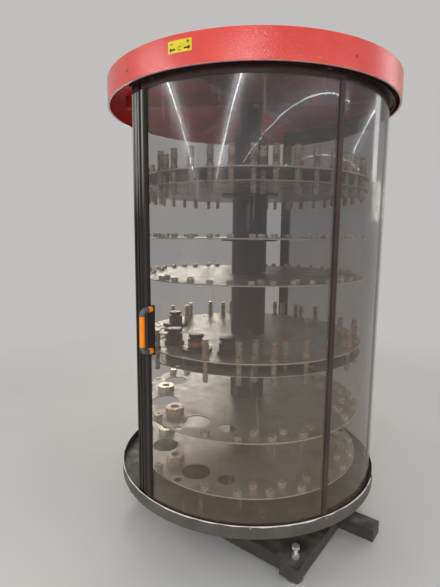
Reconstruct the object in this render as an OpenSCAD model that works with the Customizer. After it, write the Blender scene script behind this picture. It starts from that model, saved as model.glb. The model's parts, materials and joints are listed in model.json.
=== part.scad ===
// Tool storage tower of a turret punch press: a carousel of shelves for punches and dies,
// which turns behind curved smoked sheets, one of them a sliding door.
// Millimetres, Z up, origin on the floor under the mast. The front is -Y. Angles called az are
// counted from the front, positive towards +X.

/* [Crown] */
// Height of the whole tower, to the top of the crown
tower_h = 2465; // [2440:5:2500]
// How far the crown reaches out past the door's sheet
crown_over = 47; // [35:1:67]
// Height of the crown's band
crown_h = 124; // [110:1:130]
// Thickness of the crown's rolled band
crown_wall = 5; // [3:0.5:8]
// Thickness of the crown's top sheet
crown_top_t = 4; // [2:0.5:6]
// Fold on the band's lower edge, inwards
crown_fold = 10; // [6:1:12]

/* [Covers] */
// Inner radius of the sliding door's sheet, which every other round size follows
door_r = 733; // [700:1:760]
// Thickness of the smoked sheets
sheet_t = 4; // [3:0.5:5]
// Distance from the fixed sheets' inner faces out to the door's
sheet_step = 11; // [10:0.5:13]
// Az of the door's leading edge when it is shut
door_az0 = -97.8; // [-99:0.2:-96]
// Az of the door's trailing edge when it is shut
door_az1 = -25.6; // [-28:0.2:-24]
// Az where the fixed sheets begin, under the door's trailing edge
fixed_az0 = -27.5; // [-30:0.5:-27.5]
// Az of the joint between the two fixed sheets
joint_az = 27.5; // [20:0.5:35]
// Az of the two cover posts' middles, either side of the front
post_az = 102; // [101.5:0.5:110]
// Width of a cover post
post_w = 60; // [50:1:62]
// Depth of a cover post
post_d = 35; // [30:1:40]
// Width of the door's leading stile, as an angle
stile_az = 2.8; // [2:0.1:3.2]
// Width of the dark liner behind the stile, as an angle
liner_az = 3; // [2.8:0.1:4]
// Width of the door's trailing strip, as an angle
strip_az = 1.9; // [1.5:0.1:2.5]

/* [Handle] */
// Height of the handle's middle above the floor
handle_z = 1240; // [1100:10:1400]
// Distance between the handle's two mounts
handle_pitch = 198; // [160:2:220]
// Diameter of the handle's grip
grip_d = 25; // [22:1:26]
// Distance from the stile's face to the middle of the grip
handle_reach = 57; // [45:1:57]

/* [Shelves] */
// Clearance between the shelf plates and the fixed sheets
shelf_gap = 78.5; // [60:0.5:90]
// Thickness of the punch and die plates
shelf_t = 6; // [5:0.5:10]
// Thickness of the guide plates under the punch plates
guide_t = 3; // [2:0.5:5]
// Distance from a punch plate's top face to its guide plate's top face
guide_drop = 60; // [50:1:70]
// Top face of the lowest plate, for large dies, above the carousel's base
rise_d = 61; // [50:1:80]
// From the lowest plate up to the second plate for large dies
rise_c = 276; // [260:1:300]
// From there up to the lower punch plate
rise_punch_b = 380; // [360:1:400]
// From there up to the lower plate for small dies
rise_b = 356; // [340:1:370]
// From there up to the upper plate for small dies
rise_a = 207; // [190:1:220]
// From there up to the upper punch plate
rise_punch_a = 308; // [280:1:320]

/* [Stations] */
// Distance of the outer row of stations from the shelf's edge
row_edge = 27.5; // [26:0.5:32]
// Distance from the outer row of stations to the second row
row_step = 60; // [55:1:66]
// Distance of the row of large stations from the shelf's edge
big_edge = 143.5; // [138:0.5:150]
// Number of stations in the outer row of the upper plates
fine_count = 40; // [36, 40]
// Number of stations in the outer row of the lower plates
coarse_count = 24; // [24]
// Radius of the medium holes among the large stations
medium_r = 47.5; // [44:0.5:48]
// Radius of the large holes among the large stations
large_r = 75; // [70:0.5:75]
// Radius of a small punch's body
punch_r = 12.7; // [11:0.1:13]
// Length of a punch
punch_len = 208; // [200:1:212]
// How far a punch hangs below its plate's top face
punch_hang = 113; // [100:1:118]
// Radius of the heads of the small dies on the upper plates
die_r_s = 16; // [15:0.5:19]
// Radius of the heads of the dies on the lower plates
die_r_m = 22; // [20:0.5:23]
// Clearance round a tool in its hole
tool_gap = 0.3; // [0.2:0.05:0.5]

/* [Drive] */
// Outer radius of the carousel's drum
drum_r = 100; // [96:1:110]
// Wall of the drum
drum_wall = 10; // [6:1:12]
// Outer radius of the mast
mast_r = 60; // [55:1:65]
// Module of the ring gear and its pinion
gear_m = 6; // [5.8:0.1:6]
// Teeth on the ring gear
ring_teeth = 80; // [80]
// Teeth on the pinion
pinion_teeth = 20; // [20]
// Backlash cut from each tooth of the gears
gear_play = 0.25; // [0.15:0.05:0.5]
// Running clearance of bearings and axles, on the radius
run_gap = 0.06; // [0.03:0.01:0.1]

/* [Base] */
// Clearance between the door's lower channel and the base ring
ring_gap = 1.8; // [1:0.1:6]
// Underside of the base ring above the floor
ring_z = 318; // [300:2:330]
// Height of the base ring
ring_h = 62; // [58:1:64]
// Wall of the base ring
ring_wall = 6; // [4:0.5:6]
// Half the width of the square pedestal
pedestal_half = 355; // [345:1:365]
// Width of the base beams
beam_w = 100; // [90:1:110]
// Height of the base beams
beam_h = 70; // [60:1:80]
// Wall of the base beams
beam_wall = 5; // [4:0.5:8]
// Underside of the beams above the floor
beam_clear = 50; // [40:1:60]
// Outer faces of the front and rear beams, from the middle
frame_y = 590; // [570:5:620]
// Ends of the front and rear beams, from the middle
frame_x = 430; // [420:5:460]
// Reach of the outrigger in front of the tower
outrigger_y = 780; // [740:5:800]
// Middle of the outrigger, from the tower's middle
outrigger_x = 120; // [80:5:160]
// Thread diameter of the levelling bolts
bolt_d = 24; // [20:1:27]
// Distance of a levelling bolt from its beam's end
bolt_inset = 70; // [60:1:90]

/* [Hidden] */

fine = 180;
small = 40;
skin = 0.3;

// Radii, from the door's sheet outwards and inwards
edge_t = 2.2;
door_out = door_r + sheet_t;
rail_in = door_r - edge_t;
rail_out = door_out + edge_t;
ring_r = rail_out + ring_gap + ring_wall;
crown_r = door_r + crown_over;
fixed_r = door_r - sheet_step;
fixed_out = fixed_r + sheet_t;
shelf_r = fixed_r - shelf_gap;
row_out_r = shelf_r - row_edge;
row_in_r = row_out_r - row_step;
row_big_r = shelf_r - big_edge;

// Levels of the base, from the floor up
beam_top = beam_clear + beam_h;
ring_flange_t = 8;
ring_flange_w = 107;
deck_z = ring_z + ring_flange_t;
deck_t = 8;
floor_z = deck_z + deck_t;
ring_top = ring_z + ring_h;
pedestal_t = 6;
pedestal_flange = 55;
pedestal_flange_t = 8;
deck_gap = 0.5;

// Levels of the top, from the crown down
crown_under = tower_h - crown_top_t;
arm_w = 60;
arm_wall = 3;
arm_z = crown_under - arm_w;
rail_t = 8;
rail_web_t = 6;
rail_flange_w = 27;
rail_lip_t = 4;
rail_web_drop = 90;
guide_shelf_drop = 41;
guide_z = arm_z - guide_shelf_drop;
guide_shelf_t = 6;
guide_lip = 14;

// Sheets and the channels that hold them
channel_t = 2;
sill_floor = 4;
sill_h = 16;
fixed_z0 = floor_z + sill_floor;
fixed_head = 12;
fixed_z1 = guide_z - fixed_head;
edge_web = 4;
edge_leg_low = 14;
edge_leg_top = 27;
track_h = 10;
wheel_r = 11;
wheel_w = 7;
wheel_z = floor_z + track_h + skin + wheel_r;
wheel_room = 7.5;
door_head = 22;
door_z0 = wheel_z + wheel_r + wheel_room;
door_z1 = guide_z - door_head;
stile_leg = 4;
stile_z0 = door_z0 + edge_leg_low;
stile_z1 = door_z1 - edge_leg_top;
lip_room = 5.8;
lip_in = rail_out + lip_room;
guide_r = 7.5;
guide_mid = lip_in - skin - guide_r;
guide_pin_r = 2;
axle_r = 3;
axle_head_r = 5;
bracket_t = 1.8;
roller_inset = 6;
web_az = 0.3;
web_out = fixed_r;
web_in = web_out - rail_web_t;
post_top = arm_z - rail_web_drop;

// Gears and bearings
ring_pitch = gear_m * ring_teeth / 2;
pinion_pitch = gear_m * pinion_teeth / 2;
gear_reach = ring_pitch + pinion_pitch;
gear_press = 20;
race_r = 195;
race_bore = 150;
race_foot_r = 215;
race_foot_t = 8;
race_h = 40;
gear_z0 = floor_z + race_foot_t + skin;
gear_z1 = floor_z + race_h + 2;
base_plate_t = 12;
drum_z0 = gear_z1 + base_plate_t;
drum_room = 175;
drum_top = arm_z - drum_room;
drum_in = drum_r - drum_wall;
bush_h = 40;
bush_neck = 12;
bush_collar = 20;
mast_wall = 8;
mast_foot_r = 140;
mast_foot_t = 16;
shaft_r = 12;
motor_at = [gear_reach * sin(135), -gear_reach * cos(135)];

// Carousel
collar_t = 14;
collar_w = 60;
spacer_r = 10;
spacer_in = 120;
spacer_row = row_big_r - spacer_in;
spacer_count = 6;
die_z_d = drum_z0 + rise_d;
die_z_c = die_z_d + rise_c;
punch_z_b = die_z_c + rise_punch_b;
die_z_b = punch_z_b + rise_b;
die_z_a = die_z_b + rise_a;
punch_z_a = die_z_a + rise_punch_a;
guide_a = punch_z_a - guide_drop;
guide_b = punch_z_b - guide_drop;
big_az = [-167.5, -147.5, -127.5, -107.5, -87.5, -67.5];
fine_phase = -1.2;
fine_step = 360 / fine_count;
coarse_step = 360 / coarse_count;
die_neck = 3;
die_head_s = 19;
die_head_m = 25;

// A rectangle of a revolved section, from radius r0 to r1 and height z0 to z1
module slab(r0, r1, z0, z1) {
    translate([r0, z0]) square([r1 - r0, z1 - z0]);
}

// Carries a shape that is drawn at the middle out to a radius, towards az
module place(az, r = 0, z = 0) {
    rotate([0, 0, az]) translate([0, -r, z]) children();
}

// Revolves a section from az0 to az1
module sweep(az0, az1) {
    rotate([0, 0, az0 - 90]) rotate_extrude(angle = az1 - az0, $fn = fine) children();
}

module turn() {
    rotate_extrude($fn = fine) children();
}

// An open box section along X, centred, with its underside at z = 0
module box_tube(length, w, h, t) {
    translate([-length / 2, -w / 2, 0]) difference() {
        cube([length, w, h]);
        translate([-1, t, t]) cube([length + 2, w - 2 * t, h - 2 * t]);
    }
}

// Places of the four levelling bolts
bolt_x = frame_x - bolt_inset;
bolt_y = frame_y - beam_w / 2;
module at_bolts() {
    for (sx = [-1, 1], sy = [-1, 1]) translate([sx * bolt_x, sy * bolt_y, 0]) children();
}

cap_t = 5;
module cross_beams() {
    color("#3d3935") difference() {
        for (sy = [-1, 1]) translate([0, sy * bolt_y, beam_clear])
            box_tube(2 * (frame_x - cap_t), beam_w, beam_h, beam_wall);
        at_bolts() translate([0, 0, beam_clear - 1])
            cylinder(r = bolt_d / 2 + 1, h = beam_h + 2, $fn = small);
    }
}

side_over = 45;
side_x = pedestal_half - beam_w / 2 + side_over;
module side_beams() {
    color("#3d3935") for (sx = [-1, 1]) translate([sx * side_x, 0, beam_clear])
        rotate([0, 0, 90]) box_tube(2 * (frame_y - beam_w), beam_w, beam_h, beam_wall);
}

outrigger_len = outrigger_y - frame_y - cap_t;
module outrigger_beam() {
    color("#3d3935") translate([outrigger_x, -frame_y - outrigger_len / 2, beam_clear])
        rotate([0, 0, 90]) box_tube(outrigger_len, beam_w, beam_h, beam_wall);
}

module beam_end_caps() {
    color("#35312e") {
        for (sx = [-1, 1], sy = [-1, 1])
            translate([sx * (frame_x - cap_t / 2), sy * bolt_y, beam_clear + beam_h / 2])
                cube([cap_t, beam_w, beam_h], center = true);
        translate([outrigger_x, -outrigger_y + cap_t / 2, beam_clear + beam_h / 2])
            cube([beam_w, cap_t, beam_h], center = true);
    }
}

pad_r = 45;
pad_t = 12;
pad_boss_r = 22;
pad_boss_h = 28;
bolt_tip = 16;
bolt_seat = 0.1;
bolt_top = 50;
head_h = 15;
nut_h = 19;
hex_r = bolt_d * 0.866;
module foot_pads() {
    color("#4a4745") at_bolts() rotate_extrude($fn = small) polygon([
        [0, 0], [pad_r, 0], [pad_r, pad_t - 2], [pad_r - 2, pad_t], [pad_boss_r + 3, pad_t],
        [pad_boss_r, pad_boss_h], [bolt_d / 2 + bolt_seat, pad_boss_h],
        [bolt_d / 2 + bolt_seat, bolt_tip], [0, bolt_tip]
    ]);
}

module levelling_bolts() {
    color("#8f8d8a") at_bolts() {
        translate([0, 0, bolt_tip]) cylinder(d = bolt_d, h = beam_top + bolt_top - bolt_tip, $fn = small);
        translate([0, 0, beam_top + bolt_top]) intersection() {
            cylinder(r = hex_r, h = head_h, $fn = 6);
            rotate_extrude($fn = small) polygon([
                [0, 0], [hex_r, 0], [hex_r, head_h - 2.5], [hex_r - 3.5, head_h], [0, head_h]
            ]);
        }
    }
}

module locknuts() {
    color("#6f6c69") at_bolts() translate([0, 0, beam_top]) difference() {
        cylinder(r = hex_r, h = nut_h, $fn = 6);
        translate([0, 0, -1]) cylinder(r = bolt_d / 2 + bolt_seat, h = nut_h + 2, $fn = small);
    }
}

// The square column between the beams and the deck, open inside, with a flange at each end
module pedestal() {
    tall = deck_z - beam_top;
    inner = pedestal_half - pedestal_t;
    mouth = pedestal_half - pedestal_flange;
    color("#36322f") translate([0, 0, beam_top]) difference() {
        translate([-pedestal_half, -pedestal_half, 0]) cube([2 * pedestal_half, 2 * pedestal_half, tall]);
        translate([-inner, -inner, pedestal_flange_t])
            cube([2 * inner, 2 * inner, tall - 2 * pedestal_flange_t]);
        translate([-mouth, -mouth, -1]) cube([2 * mouth, 2 * mouth, tall + 2]);
    }
}

// Upright rolled band with an inner flange that carries the deck; its upper edge is broken
module base_ring() {
    edge = ring_wall / 4;
    wall_in = ring_r - ring_wall;
    color("#45403b") turn() polygon([
        [ring_r - ring_flange_w, ring_z], [ring_r, ring_z], [ring_r, ring_top - edge],
        [ring_r - edge, ring_top], [wall_in + edge, ring_top], [wall_in, ring_top - edge],
        [wall_in, deck_z], [ring_r - ring_flange_w, deck_z]
    ]);
}

shaft_hole = 30;
module deck_plate() {
    color("#3b3733") difference() {
        translate([0, 0, deck_z]) cylinder(r = ring_r - ring_wall - deck_gap, h = deck_t, $fn = fine);
        translate([motor_at.x, motor_at.y, deck_z - 1]) cylinder(r = shaft_hole, h = deck_t + 2, $fn = small);
    }
}

// The angle from the front at which a ring of radius r ends short of a cover post
function post_side(r) = post_az - asin((post_w / 2 + skin) / r);

module door_track() {
    color("#55524f") sweep(-post_side(rail_in), post_side(rail_in))
        slab(rail_in, rail_out, floor_z, floor_z + track_h);
}

// The solid block of a cover post up to height top, which what ends against it is cut by
post_proud = 2;
post_out = door_r + post_proud;
post_bite = 1.5;
module post_block(side, top = post_top) {
    place(side * post_az, post_out, floor_z)
        translate([-post_w / 2, 0, 0]) cube([post_w, post_d, top - floor_z]);
}

module panel_sill() {
    low = floor_z;
    top = floor_z + sill_h;
    color("#1f1d1c") sweep(fixed_az0, post_side(fixed_r)) polygon([
        [fixed_r - channel_t, low], [fixed_out + channel_t, low],
        [fixed_out + channel_t, top], [fixed_out, top], [fixed_out, fixed_z0],
        [fixed_r, fixed_z0], [fixed_r, top], [fixed_r - channel_t, top]
    ]);
}

module mast() {
    color("#5a5652") turn() polygon([
        [mast_r - mast_wall, floor_z], [mast_foot_r, floor_z],
        [mast_foot_r, floor_z + mast_foot_t], [mast_r, floor_z + mast_foot_t],
        [mast_r, crown_under], [mast_r - mast_wall, crown_under]
    ]);
}

module bearing_race() {
    color("#7d7b78") turn() polygon([
        [race_bore, floor_z], [race_foot_r, floor_z], [race_foot_r, floor_z + race_foot_t],
        [race_r, floor_z + race_foot_t], [race_r, floor_z + race_h],
        [race_bore, floor_z + race_h]
    ]);
}

// Plain bush, fixed on the mast, on which the top of the drum turns
module upper_bearing() {
    neck = mast_r + bush_neck;
    low = drum_top - bush_h;
    color("#b08d4c") turn() polygon([
        [mast_r, low - bush_collar], [neck, low - bush_collar], [neck, low], [drum_in - run_gap, low],
        [drum_in - run_gap, drum_top], [mast_r, drum_top]
    ]);
}

arm_count = 6;
hub_r = 130;
module spider_arms() {
    reach = web_in + rail_web_t / 2 - hub_r;
    color("#3b3733") for (i = [0 : arm_count - 1])
        place(360 / arm_count * (i + 0.5), hub_r + reach / 2, arm_z)
            rotate([0, 0, 90]) box_tube(reach, arm_w, arm_w, arm_wall);
}

module spider_hub() {
    color("#3b3733") difference() {
        translate([0, 0, arm_z]) rotate([0, 0, 180 / arm_count])
            cylinder(r = hub_r / cos(180 / arm_count), h = arm_w, $fn = arm_count);
        translate([0, 0, arm_z - 1]) cylinder(r = mast_r, h = arm_w + 2, $fn = fine);
    }
}

// Rolled channel under the crown, from post to post: inner flange for the arms, web for the fixed
// sheets, and an outer shelf whose lip guides the door
module upper_rail() {
    lip_out = lip_in + rail_lip_t;
    under = guide_z - guide_shelf_t;
    end = 2 * post_az - post_side(web_in);
    color("#1b1918") sweep(-end, end) polygon([
        [web_in, post_top], [web_out, post_top], [web_out, under], [lip_in, under],
        [lip_in, under - guide_lip], [lip_out, under - guide_lip], [lip_out, guide_z],
        [web_out, guide_z], [web_out, arm_z], [web_in - rail_flange_w, arm_z],
        [web_in - rail_flange_w, arm_z - rail_t], [web_in, arm_z - rail_t]
    ]);
}

// Top sheet and rolled band in one, with the band's lower edge folded inwards
module crown() {
    inner = crown_r - crown_wall;
    low = tower_h - crown_h;
    edge = 2;
    color("#c8232c") turn() polygon([
        [0, crown_under], [inner, crown_under], [inner, low + crown_wall],
        [crown_r - crown_fold, low + crown_wall], [crown_r - crown_fold, low],
        [crown_r, low], [crown_r, tower_h - edge], [crown_r - edge, tower_h], [0, tower_h]
    ]);
}

groove_w = 7;
groove_d = 9;
groove_pitch = 26;
post_wall = 4;
// Extruded posts with two grooves down the outer face and a hollow core
module cover_posts() {
    color("#6d6964") for (side = [-1, 1]) difference() {
        post_block(side);
        place(side * post_az, post_out, floor_z - 1) {
            for (g = [-1, 1]) translate([g * groove_pitch / 2 - groove_w / 2, -1, 0])
                cube([groove_w, groove_d + 1, post_top]);
            translate([-post_w / 2 + post_wall, groove_d + post_wall, 0])
                cube([post_w - 2 * post_wall, post_d - groove_d - 2 * post_wall, post_top]);
        }
    }
}

module post_brackets() {
    tall = guide_z - guide_shelf_t - post_top;
    color("#161514") for (side = [-1, 1]) difference() {
        place(side * post_az, post_out, post_top)
            translate([-post_w / 2, 0, 0]) cube([post_w, post_d / 2, tall]);
        translate([0, 0, post_top - 1]) cylinder(r = web_out, h = tall + 2, $fn = fine);
    }
}

seal_gap = 0.03;
// Rubber strip on the left post, against which the shut door's stile closes
module post_seal() {
    color("#121110") difference() {
        sweep(-post_az, door_az0 - seal_gap) slab(fixed_r, rail_out, stile_z0, post_top);
        post_block(-1);
    }
}

module centre_panel() {
    color("#4a403d", 0.4) sweep(fixed_az0, joint_az - joint_gap)
        slab(fixed_r, fixed_out, fixed_z0, fixed_z1);
}

joint_gap = 0.1;
joint_cover = 1;
module right_panel() {
    color("#4a403d", 0.4) difference() {
        sweep(joint_az + joint_gap, post_az - post_bite)
            slab(fixed_r, fixed_out, fixed_z0, fixed_z1);
        post_block(1, guide_z);
    }
}

module panel_joint() {
    low = floor_z + sill_h;
    color("#1f1d1c") difference() {
        sweep(joint_az - joint_cover, joint_az + joint_cover)
            slab(fixed_r - channel_t, fixed_out + channel_t, low, post_top);
        sweep(joint_az - 2 * joint_cover, joint_az - joint_gap)
            slab(fixed_r, fixed_out, low - 1, post_top + 1);
        sweep(joint_az + joint_gap, joint_az + 2 * joint_cover)
            slab(fixed_r, fixed_out, low - 1, post_top + 1);
    }
}

gearbox_w = 120;
gearbox_h = 84;
motor_r = 50;
motor_h = 92;
bore_h = 66;
fin_count = 7;
fin_d = 6;
terminal_w = 50;
terminal_h = 52;
terminal_d = 32;
terminal_z = 22;
// Gearbox hung under the deck, with a finned motor and its terminal box below
module drive_gearmotor() {
    low = deck_z - gearbox_h;
    fin = motor_h / (2 * fin_count);
    color("#50565c") translate([motor_at.x, motor_at.y, 0]) difference() {
        union() {
            translate([-gearbox_w / 2, -gearbox_w / 2, low]) cube([gearbox_w, gearbox_w, gearbox_h]);
            translate([0, 0, low - motor_h]) cylinder(r = motor_r - fin_d, h = motor_h, $fn = small);
            for (i = [0 : fin_count - 1]) translate([0, 0, low - motor_h + (2 * i + 1) * fin])
                cylinder(r = motor_r, h = fin, $fn = small);
            translate([motor_r - 2 * fin_d, -terminal_w / 2, low - motor_h + terminal_z])
                cube([terminal_d, terminal_w, terminal_h]);
        }
        translate([0, 0, deck_z - bore_h])
            cylinder(r = shaft_r + run_gap, h = bore_h + 1, $fn = small);
    }
}

// Half the angle that a tooth fills at radius r: the pitch half angle, less the play, plus the
// involute's turn between the pitch radius and r
function roll(base, r) = let (t = sqrt(max(0, (r / base) ^ 2 - 1))) t * 180 / PI - atan(t);
function tooth_half(count, r) = let (
    pitch = gear_m * count / 2,
    base = pitch * cos(gear_press)
) 90 / count - gear_play / 2 / pitch * 180 / PI + roll(base, pitch) - roll(base, max(r, base));
function gear_points(count) = let (
    pitch = gear_m * count / 2,
    foot = pitch - 1.25 * gear_m,
    base = pitch * cos(gear_press),
    tip = pitch + gear_m,
    low = max(foot, base),
    radii = [foot, low + (tip - low) * 0.05, (low + tip) / 2, low + (tip - low) * 0.8, tip]
) [
    for (i = [0 : count - 1], side = [-1, 1], k = [0 : 4])
        let (r = radii[side < 0 ? k : 4 - k], a = 360 / count * i + side * tooth_half(count, r))
            [r * cos(a), r * sin(a)]
];

pinion_lift = 2;
pinion_h = 28;
module drive_pinion() {
    low = gear_z0 + pinion_lift;
    shaft_z = deck_z - bore_h + 4;
    color("#6a6763") translate([motor_at.x, motor_at.y, 0]) {
        translate([0, 0, low]) linear_extrude(pinion_h) polygon(gear_points(pinion_teeth));
        translate([0, 0, shaft_z]) cylinder(r = shaft_r, h = low + pinion_h + 8 - shaft_z, $fn = small);
    }
}

module ring_gear() {
    color("#6a6763") difference() {
        translate([0, 0, gear_z0]) linear_extrude(gear_z1 - gear_z0)
            polygon(gear_points(ring_teeth));
        translate([0, 0, gear_z0 - 1])
            cylinder(r = race_r + run_gap, h = gear_z1 - gear_z0 + 2, $fn = fine);
    }
}

module drum_base() {
    color("#4d4945") turn() slab(drum_in, ring_pitch - 2 * gear_m, gear_z1, drum_z0);
}

module drum_tube() {
    color("#2f2c2a") turn() slab(drum_in, drum_r, drum_z0, drum_top);
}

shelf_tops = [punch_z_a, die_z_a, die_z_b, punch_z_b, die_z_c, die_z_d];
collar_tops = concat([for (z = shelf_tops) z - shelf_t], [guide_a - guide_t, guide_b - guide_t]);
// Clamped collars on the drum, one under each plate
module shelf_collars() {
    color("#4d4945") for (z = collar_tops) turn() slab(drum_r, drum_r + collar_w, z - collar_t, z);
}

module shelf_spacers() {
    color("#8c8a87") for (z = [guide_a, guide_b], i = [0 : spacer_count - 1])
        place(360 / spacer_count * (i + 0.5), spacer_row, z)
            cylinder(r = spacer_r, h = guide_drop - shelf_t, $fn = small);
}

// Stations, each as [az, radius, index in its row]
fine_out = [for (k = [0 : fine_count - 1]) [k * fine_step + fine_phase, row_out_r, k]];
fine_in = [
    for (k = [0 : fine_count / 2 - 1]) [(2 * k + 0.5) * fine_step + fine_phase, row_in_r, k]
];
coarse_out = [for (k = [0 : coarse_count - 1]) [k * coarse_step, row_out_r, k]];
coarse_in = [
    for (k = [0 : coarse_count - 1]) let (az = (k + 0.5) * coarse_step)
        if (az < big_az[0] + 360 - 15 || az > big_az[5] + 360 + 14) [az, row_in_r, k]
];
big = [for (k = [0 : 5]) [big_az[k], row_big_r, k]];
medium = [for (s = big) if (s[2] % 2 == 1) s];
large = [for (s = big) if (s[2] % 2 == 0) s];

// The stations of a row that hold a tool: all but one in every few
function filled(row, few, gap) = [for (s = row) if (s[2] % few != gap) s];

module at_stations(row, z) {
    for (s = row) place(s[0], s[1], z) children();
}

module drill(row, r, z, t) {
    at_stations(row, z - t - 1) cylinder(r = r, h = t + 2, $fn = small);
}

module plate(z, t, shade) {
    color(shade) difference() {
        translate([0, 0, z - t]) cylinder(r = shelf_r, h = t, $fn = fine);
        translate([0, 0, z - t - 1]) cylinder(r = drum_r, h = t + 2, $fn = fine);
        children();
    }
}

punch_hole = punch_r + tool_gap;
die_hole_s = die_r_s - die_neck + tool_gap;
die_hole_m = die_r_m - die_neck + tool_gap;
steel = "#8b8580";
module big_holes(z, t) {
    drill(medium, medium_r, z, t);
    drill(large, large_r, z, t);
}
module fine_plate(z, t, hole) {
    plate(z, t, steel) {
        drill(fine_out, hole, z, t);
        drill(fine_in, hole, z, t);
    }
}
module coarse_plate(z, t, hole) {
    plate(z, t, steel) {
        drill(coarse_out, hole, z, t);
        drill(coarse_in, hole, z, t);
        big_holes(z, t);
    }
}
module punch_plate_a() { fine_plate(punch_z_a, shelf_t, punch_hole); }
module guide_plate_a() { fine_plate(guide_a, guide_t, punch_hole); }
module die_plate_a() { fine_plate(die_z_a, shelf_t, die_hole_s); }
module die_plate_b() { fine_plate(die_z_b, shelf_t, die_hole_s); }
module punch_plate_b() { coarse_plate(punch_z_b, shelf_t, punch_hole); }
module guide_plate_b() { coarse_plate(guide_b, guide_t, punch_hole); }
module die_plate_c() { coarse_plate(die_z_c, shelf_t, die_hole_m); }
module die_plate_d() { coarse_plate(die_z_d, shelf_t, die_hole_m); }

// One punch, from its tip up: guide body, collar that hangs in the plate, spring pack with
// its grooves, and striking head
module punch() {
    low = -punch_hang;
    high = punch_len - punch_hang;
    collar_r = punch_r + 6.5;
    pack_r = punch_r + 3.5;
    groove_r = pack_r - 2.5;
    turns = 5;
    pack_z0 = 16;
    pack_h = 34;
    step = pack_h / turns;
    rotate_extrude($fn = small) polygon(concat(
        [[0, low], [punch_r - 4, low], [punch_r, low + 7], [punch_r, 0], [collar_r, 0],
            [collar_r, 9], [pack_r, 11]],
        [for (i = [0 : turns - 1], q = [[0, pack_r], [0.35, pack_r], [0.45, groove_r],
            [0.9, groove_r]]) [q[1], pack_z0 + step * (i + q[0])]],
        [[pack_r, pack_z0 + pack_h], [pack_r, high - 16], [punch_r - 2, high - 15],
            [punch_r - 2, high - 8], [pack_r, high - 7], [pack_r, high - 2],
            [pack_r - 2, high], [0, high]]
    ));
}

module punches_a() {
    color("#8a6f5a") {
        at_stations(filled(fine_out, 12, 4), punch_z_a) punch();
        at_stations(filled(fine_in, 3, 1), punch_z_a) punch();
    }
}

module punches_b() {
    color("#8a6f5a") {
        at_stations(filled(coarse_out, 5, 3), punch_z_b) punch();
        at_stations(filled(coarse_in, 3, 1), punch_z_b) punch();
    }
}

big_tool_fit = 0.3;
big_tool_rim = 5;
holder_short = 20;
holder_rim_h = 14;
holder_barrel_h = 45;
holder_groove_h = 9;
holder_groove_d = 10;
holder_cap_h = 17;
holder_edge = 3;
// One of the larger punch holders, hung by its rim in a hole of radius r
module big_punch(r, head) {
    body = r - big_tool_fit;
    rim = r + big_tool_rim;
    low = -punch_hang + holder_short;
    barrel = holder_rim_h + holder_barrel_h;
    groove = barrel + holder_groove_h;
    top = groove + holder_cap_h;
    inner = head - holder_groove_d;
    cap = head - holder_edge;
    rotate_extrude($fn = small) polygon([
        [0, low], [body - 2 * holder_edge, low], [body, low + 2 * holder_edge], [body, 0],
        [rim, 0], [rim, holder_rim_h], [head, holder_rim_h + holder_edge],
        [head, barrel - holder_edge], [head - holder_edge, barrel], [inner, barrel],
        [inner, groove], [cap, groove + 1], [cap, top - holder_edge],
        [cap - holder_edge, top], [0, top]
    ]);
}

module large_punches() {
    color("#3a3431") {
        at_stations(filled(medium, 6, 1), punch_z_b) big_punch(medium_r, medium_r - 4);
        at_stations(filled(large, 4, 2), punch_z_b) big_punch(large_r, large_r * 0.55);
    }
}

// One die: a head that stands on the plate, a neck in its hole, and a bore that opens downwards
module die(r, head, neck) {
    inner = r - die_neck;
    low = -shelf_t - 2;
    rotate_extrude($fn = small) polygon([
        [neck, low], [inner - 1, low], [inner, low + 1], [inner, 0], [r, 0], [r, head - 1.5],
        [r - 1.5, head], [neck - 3, head], [neck - 3, head - 8], [neck, head - 12]
    ]);
}

module small_dies() {
    color("#a9a6a1") for (z = [die_z_a, die_z_b]) {
        at_stations(filled(fine_out, 12, 4), z) die(die_r_s, die_head_s, die_r_s / 2);
        at_stations(filled(fine_in, 3, 1), z) die(die_r_s, die_head_s, die_r_s / 2);
    }
}

module medium_dies() {
    color("#a9a6a1") for (z = [die_z_c, die_z_d]) {
        at_stations(filled(coarse_out, 5, 3), z) die(die_r_m, die_head_m, die_r_m / 2);
        at_stations(filled(coarse_in, 5, 3), z) die(die_r_m, die_head_m, die_r_m / 2);
    }
}

big_die_h = 30;
module large_dies() {
    color("#b5b2ad") for (z = [die_z_c, die_z_d])
        at_stations(filled(medium, 6, 5), z)
            die(medium_r - big_tool_fit + die_neck, big_die_h, medium_r * 0.55);
}

module door_sheet() {
    color("#4a403d", 0.4) sweep(door_az0 + web_az, door_az1) slab(door_r, door_out, door_z0, door_z1);
}

// Edge channels of the door, above and below, which wrap the sheet
module door_bottom_rail() {
    top = door_z0 + edge_leg_low;
    low = door_z0 - edge_web;
    color("#1a1817") sweep(door_az0, door_az1 + web_az) polygon([
        [rail_in, low], [rail_out, low], [rail_out, top], [door_out, top],
        [door_out, door_z0], [door_r, door_z0], [door_r, top], [rail_in, top]
    ]);
}

module door_top_rail() {
    low = door_z1 - edge_leg_top;
    top = door_z1 + edge_web;
    color("#1a1817") sweep(door_az0, door_az1 + web_az) polygon([
        [rail_in, low], [door_r, low], [door_r, door_z1], [door_out, door_z1],
        [door_out, low], [rail_out, low], [rail_out, top], [rail_in, top]
    ]);
}

// Channel round an upright edge of the sheet, from the sheet's end at az by cover degrees
module edge_channel(az, cover, end) {
    sweep(min(az, az + cover), max(az, az + cover)) slab(door_out, door_out + stile_leg, stile_z0, stile_z1);
    sweep(min(az, az + cover), max(az, az + cover)) slab(door_r - stile_leg, door_r, stile_z0, stile_z1);
    sweep(min(az, az + end), max(az, az + end))
        slab(door_r - stile_leg, door_out + stile_leg, stile_z0, stile_z1);
}

module door_stile() {
    color("#77736e") edge_channel(door_az0, stile_az, web_az);
}

module door_strip() {
    color("#2a2725") edge_channel(door_az1 + web_az, -strip_az, -web_az);
}

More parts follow.
